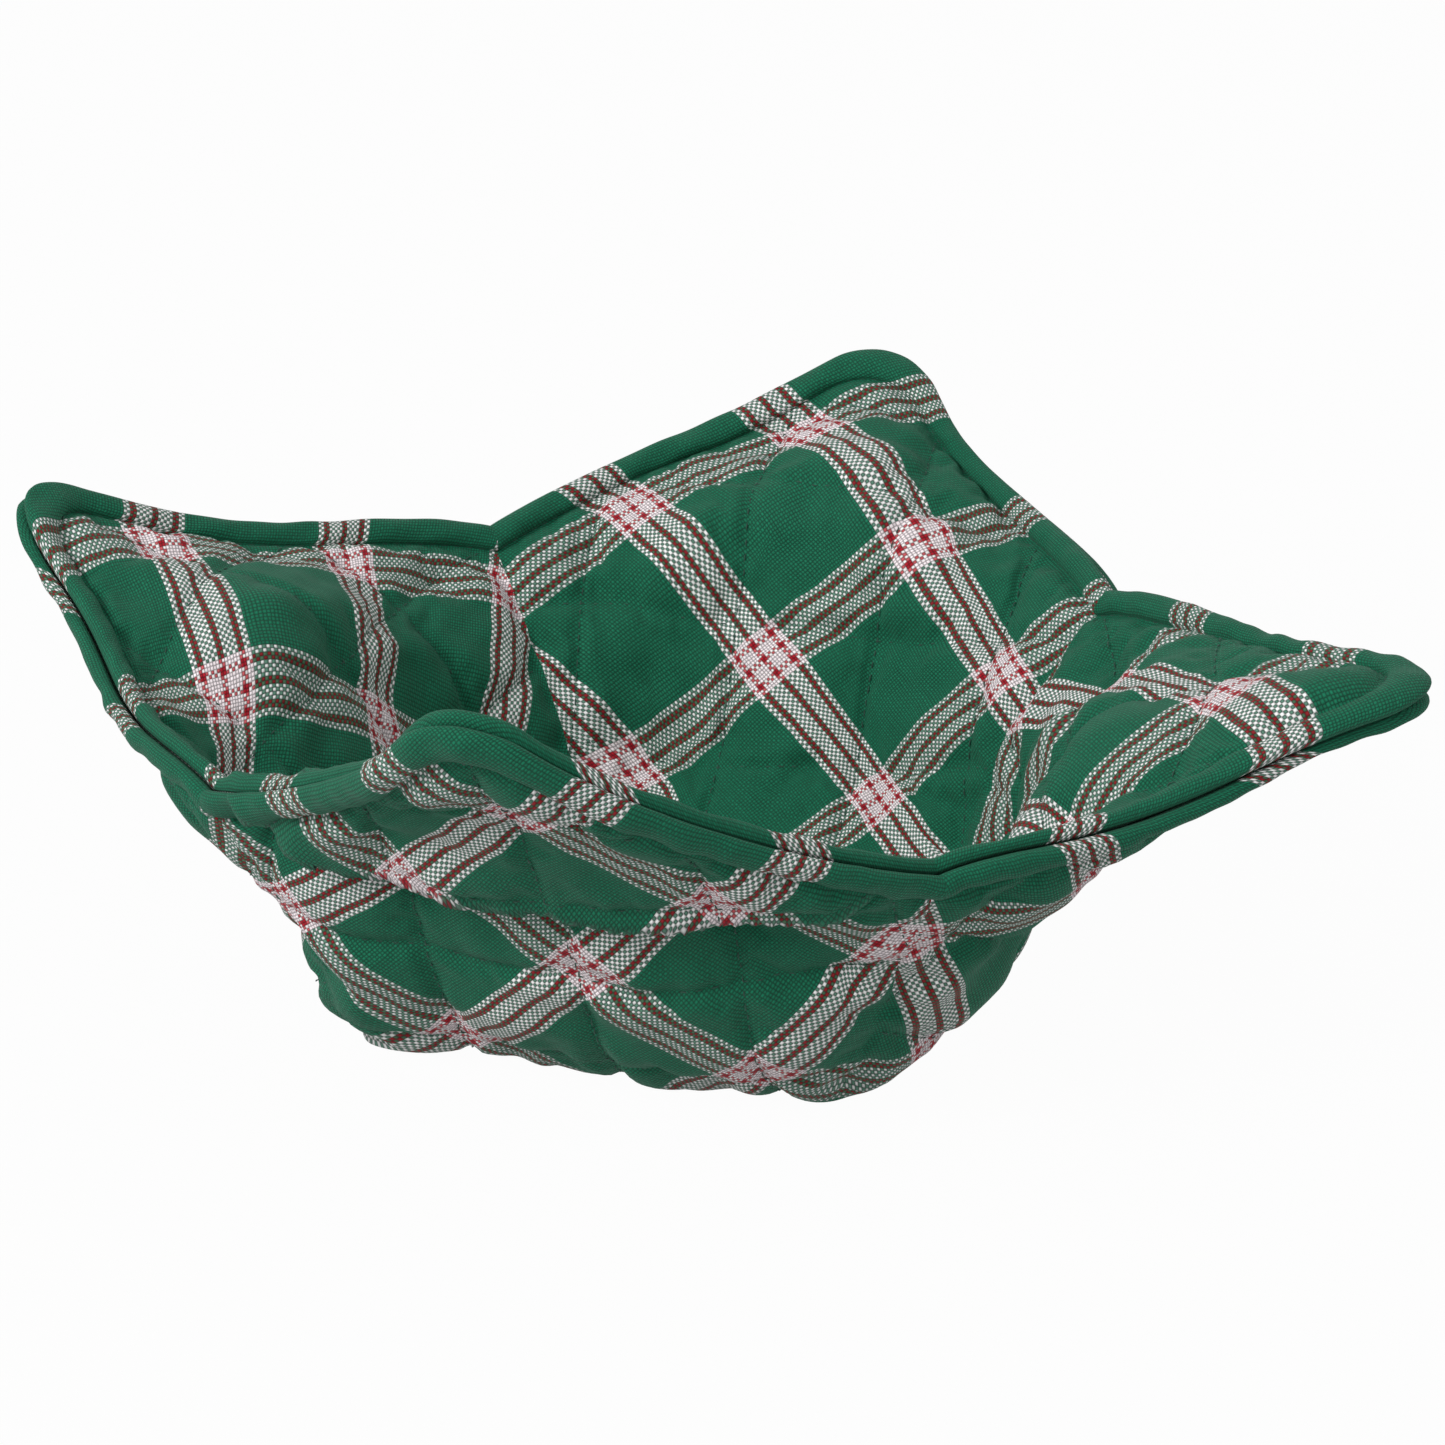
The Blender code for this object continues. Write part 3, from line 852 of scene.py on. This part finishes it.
def stitch_mesh(name, places, ahead, outward, size, material):
    """Short bent lengths of thread, each lying on the cloth along its seam."""
    ahead = ahead / np.linalg.norm(ahead, axis=-1, keepdims=True)
    aside = np.cross(outward, ahead)
    aside /= np.linalg.norm(aside, axis=-1, keepdims=True)
    up = np.cross(ahead, aside)
    along = np.linspace(-1, 1, STITCH_RINGS)
    turn = np.arange(STITCH_SIDES) * 2 * pi / STITCH_SIDES
    stitch, thread = size
    thick = thread * (1 - STITCH_TAPER * np.abs(along) ** 3)
    rise = thread * (STITCH_CROWN - STITCH_DIVE * along**2)
    local = np.stack([
        np.repeat(along * stitch / 2, STITCH_SIDES),
        (thick[:, None] * np.cos(turn)).reshape(-1),
        (rise[:, None] + thick[:, None] * np.sin(turn)).reshape(-1),
    ], -1)
    points = places[:, None]
    for axis, way in enumerate((ahead, aside, up)):
        points = points + local[None, :, axis:axis + 1] * way[:, None]
    faces = []
    for ring in range(STITCH_RINGS - 1):
        for step in range(STITCH_SIDES):
            a = ring * STITCH_SIDES + step
            b = ring * STITCH_SIDES + (step + 1) % STITCH_SIDES
            faces.append([a, b, b + STITCH_SIDES, a + STITCH_SIDES])
    faces.append(list(range(STITCH_SIDES))[::-1])
    last = (STITCH_RINGS - 1) * STITCH_SIDES
    faces.append(list(range(last, last + STITCH_SIDES)))
    starts = range(0, len(places) * len(local), len(local))
    everything = [[start + corner for corner in face] for start in starts for face in faces]
    mesh = new_mesh(name, points, everything)
    mesh.materials.append(material)
    mesh.shade_smooth()
    return add_object(name, mesh)


def evenly_along(path, beside, space):
    """Places at even steps along a polyline, its direction there, and values kept beside it."""
    steps = np.linalg.norm(np.diff(path, axis=0), axis=1)
    travel = np.concatenate([[0.0], np.cumsum(steps)])
    wanted = np.arange(space / 2, travel[-1], space)

    def at(where, values):
        return np.stack([np.interp(where, travel, values[:, axis]) for axis in range(3)], -1)

    ahead = at(wanted + space / 4, path) - at(wanted - space / 4, path)
    return at(wanted, path), ahead, at(wanted, beside)


def groove_loop(grid):
    """A grid's values once round the topstitch groove, back to where they start."""
    low, high = CELLS - INNER_CELLS, CELLS + INNER_CELLS
    sides = grid[low:high, low], grid[high, low:high], grid[high:low:-1, high], grid[low, high:low:-1]
    return np.concatenate(sides + (grid[low:low + 1, low],))


def topstitch(name, face, inwards, material):
    """The row of stitches that runs round the rim, in the groove beside the border roll."""
    normals = grid_normals(face) * inwards
    places, ahead, outward = evenly_along(groove_loop(face), groove_loop(normals), STITCH_SPACE)
    return stitch_mesh(name, places, ahead, outward, (STITCH, THREAD), material)


class FlatFinder:
    """Finds where places of the flat cut lie on a panel's standing face."""

    def __init__(self, cloth, face, inwards):
        self.flat = flat_corners(cloth)
        self.face = face.reshape(-1, 3)[quads_of(face.shape[0])]
        self.sign = inwards
        level = [(x, y, 0.0) for x, y in self.flat.reshape(-1, 2)]
        faces = [tuple(range(number, number + 4)) for number in range(0, len(level), 4)]
        self.tree = BVHTree.FromPolygons(level, faces)

    def find(self, places):
        """Standing points and face normals at those flat places, and which were on the cloth."""
        down = Vector((0.0, 0.0, -1.0))
        hits = [self.tree.ray_cast(Vector((x, y, 1.0)), down)[2] for x, y in places]
        found = np.array([hit is not None for hit in hits])
        quad = np.array([hit or 0 for hit in hits])
        a, b, d = (self.flat[quad, corner] for corner in (0, 1, 3))
        first, second, rest = b - a, d - a, places - a
        area = first[:, 0] * second[:, 1] - first[:, 1] * second[:, 0]
        s = ((rest[:, 0] * second[:, 1] - rest[:, 1] * second[:, 0]) / area)[:, None]
        t = ((first[:, 0] * rest[:, 1] - first[:, 1] * rest[:, 0]) / area)[:, None]
        p, q, r = (self.face[quad, corner] for corner in (0, 1, 3))
        normals = np.cross(q - p, r - p) * self.sign
        normals /= np.linalg.norm(normals, axis=1, keepdims=True)
        return p + (q - p) * s + (r - p) * t, normals, found


def quilting(name, cloth, face, phase, inwards, material):
    """The stitches of both sets of quilting lines, lying in their ditches."""
    finder = FlatFinder(cloth, face, inwards)
    travel = np.arange(-SQUARE, SQUARE, QUILT_SPACE)
    lines = np.arange(-QUILT_LINES, QUILT_LINES + 1) * QUILT_PITCH
    along, across = np.meshgrid(travel, lines, indexing="ij")
    places, aheads = [], []
    for run, over, shift in (((1, 1), (1, -1), phase[0]), ((-1, 1), (1, 1), phase[1])):
        run, over = np.array(run), np.array(over)
        place = along[..., None] * run + (across - shift)[..., None] * over
        places.append(place.reshape(-1, 2) / sqrt(2))
        aheads.append(np.broadcast_to(run / sqrt(2) * QUILT_STITCH / 4, places[-1].shape))
    places, aheads = np.concatenate(places), np.concatenate(aheads)
    inside = np.abs(places).max(axis=1) < HALF - BORDER_WIDTH - QUILT_STITCH / 2
    places, aheads = places[inside], aheads[inside]
    middle, normals, found = finder.find(places)
    front, _, found_front = finder.find(places + aheads)
    back, _, found_back = finder.find(places - aheads)
    ahead = front - back
    unbroken = found & found_front & found_back & (np.linalg.norm(ahead, axis=1) < QUILT_STITCH)
    good = unbroken & (middle[:, 2] > 2 * QUILT_THREAD)
    size = QUILT_STITCH, QUILT_THREAD
    return stitch_mesh(name, middle[good], ahead[good], normals[good], size, material)


def dress(piece, node):
    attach(piece, "root")
    if node:
        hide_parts(node)


def main():
    bpy.context.scene.view_settings.view_transform = "Standard"
    add_camera()
    add_world()
    add_floor()
    for name, lamp in LAMPS.items():
        add_lamp(name, *lamp)
    for panel, inwards in INWARDS.items():
        cloth = Cloth(panel)
        cotton = plaid_cotton(panel + "_plaid_cotton", WEFT_PHASE[panel])
        thread = thread_material(panel + "_thread", THREAD_GREEN)
        piece, face = panel_piece(cloth, panel, cotton)
        dress(piece, panel + "_panel")
        stitches = topstitch(panel + "_rim_topstitch", face, inwards, thread)
        dress(stitches, None)
        rows = quilting(panel + "_quilting", cloth, face, QUILT_PHASE[panel], inwards, thread)
        dress(rows, None)


main()
